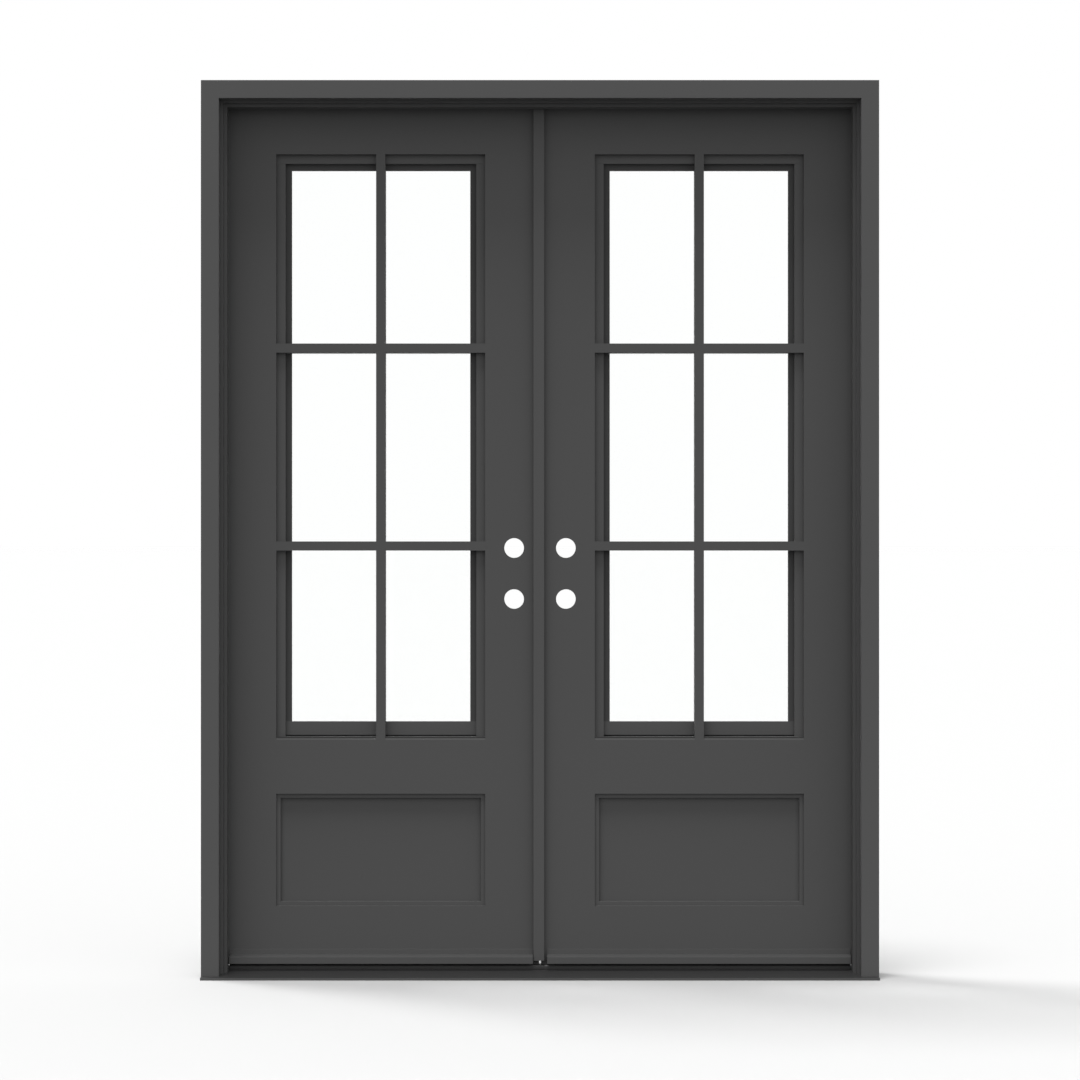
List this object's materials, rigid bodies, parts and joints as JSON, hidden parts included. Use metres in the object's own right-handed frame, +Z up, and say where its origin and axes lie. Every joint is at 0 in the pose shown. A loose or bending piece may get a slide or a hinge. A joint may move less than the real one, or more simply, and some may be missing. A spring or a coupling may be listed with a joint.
{
  "type": "french doors",
  "caption": "Pair of inswing exterior french doors in a cased frame, divided-lite glazing over flat panels, sloped sill, lock bores, flush bolts and butt hinges.",
  "frame": {"origin": "floor plane under the sill, midway between the jambs, in the plane where the casing meets the wall", "axes": "+Z up, +Y into the room, +X to the right as seen from outside"},
  "size_m": [1.829, 0.183, 2.425],
  "materials": {
    "frame_paint": "satin dark grey paint",
    "leaf_paint": "satin dark grey paint",
    "trim_metal": "satin dark grey paint",
    "sill_metal": "dark grey anodised",
    "sill_core": "matte",
    "threshold": "matte",
    "weatherstrip": "matte black",
    "hinge_metal": "satin black",
    "bolt_metal": "satin black",
    "glass": "clear",
    "spacer": "dark grey"
  },
  "bodies": {
    "frame": {"head_casing": "frame_paint", "head_jamb": "frame_paint", "sill_deck": "sill_metal", "sill_core": "sill_core", "threshold_cap": "threshold", "head_seal": "weatherstrip", "left_casing": "frame_paint", "left_jamb": "frame_paint", "left_seal": "weatherstrip", "left_hinge_jamb_plates": "hinge_metal", "left_hinge_jamb_screws": "hinge_metal", "left_hinge_pins": "hinge_metal", "right_casing": "frame_paint", "right_jamb": "frame_paint", "right_seal": "weatherstrip", "right_hinge_jamb_plates": "hinge_metal", "right_hinge_jamb_screws": "hinge_metal", "right_hinge_pins": "hinge_metal"},
    "left_leaf": {"left_hinge_stile": "leaf_paint", "left_lock_stile": "leaf_paint", "left_top_rail": "leaf_paint", "left_mid_rail": "leaf_paint", "left_bottom_rail": "leaf_paint", "left_panel": "leaf_paint", "left_outer_panel_moulding": "leaf_paint", "left_inner_panel_moulding": "leaf_paint", "left_sash": "leaf_paint", "left_glass_panes": "glass", "left_glass_spacer": "spacer", "left_outer_beads": "leaf_paint", "left_inner_beads": "leaf_paint", "left_outer_grille": "leaf_paint", "left_inner_grille": "leaf_paint", "left_drip_cap": "trim_metal", "left_sweep": "weatherstrip", "left_hinge_leaf_plates": "hinge_metal", "left_hinge_leaf_screws": "hinge_metal", "astragal": "trim_metal", "bolt_plates": "bolt_metal"},
    "right_leaf": {"right_hinge_stile": "leaf_paint", "right_lock_stile": "leaf_paint", "right_top_rail": "leaf_paint", "right_mid_rail": "leaf_paint", "right_bottom_rail": "leaf_paint", "right_panel": "leaf_paint", "right_outer_panel_moulding": "leaf_paint", "right_inner_panel_moulding": "leaf_paint", "right_sash": "leaf_paint", "right_glass_panes": "glass", "right_glass_spacer": "spacer", "right_outer_beads": "leaf_paint", "right_inner_beads": "leaf_paint", "right_outer_grille": "leaf_paint", "right_inner_grille": "leaf_paint", "right_drip_cap": "trim_metal", "right_sweep": "weatherstrip", "right_hinge_leaf_plates": "hinge_metal", "right_hinge_leaf_screws": "hinge_metal"},
    "top_bolt": {"top_bolt": "bolt_metal"},
    "bottom_bolt": {"bottom_bolt": "bolt_metal"}
  },
  "joints": [
    {"name": "left_leaf_swing", "type": "hinge", "parent": "frame", "child": "left_leaf", "pos_m": [-0.8663, 0.1225, 1.2], "axis": [0, 0, 1], "range_deg": [0, 170]},
    {"name": "right_leaf_swing", "type": "hinge", "parent": "frame", "child": "right_leaf", "pos_m": [0.8663, 0.1225, 1.2], "axis": [0, 0, -1], "range_deg": [0, 170]},
    {"name": "top_bolt_slide", "type": "slide", "parent": "left_leaf", "child": "top_bolt", "axis": [0, 0, 1], "range_m": [0, 0.022]},
    {"name": "bottom_bolt_slide", "type": "slide", "parent": "left_leaf", "child": "bottom_bolt", "axis": [0, 0, -1], "range_m": [0, 0.022]}
  ]
}
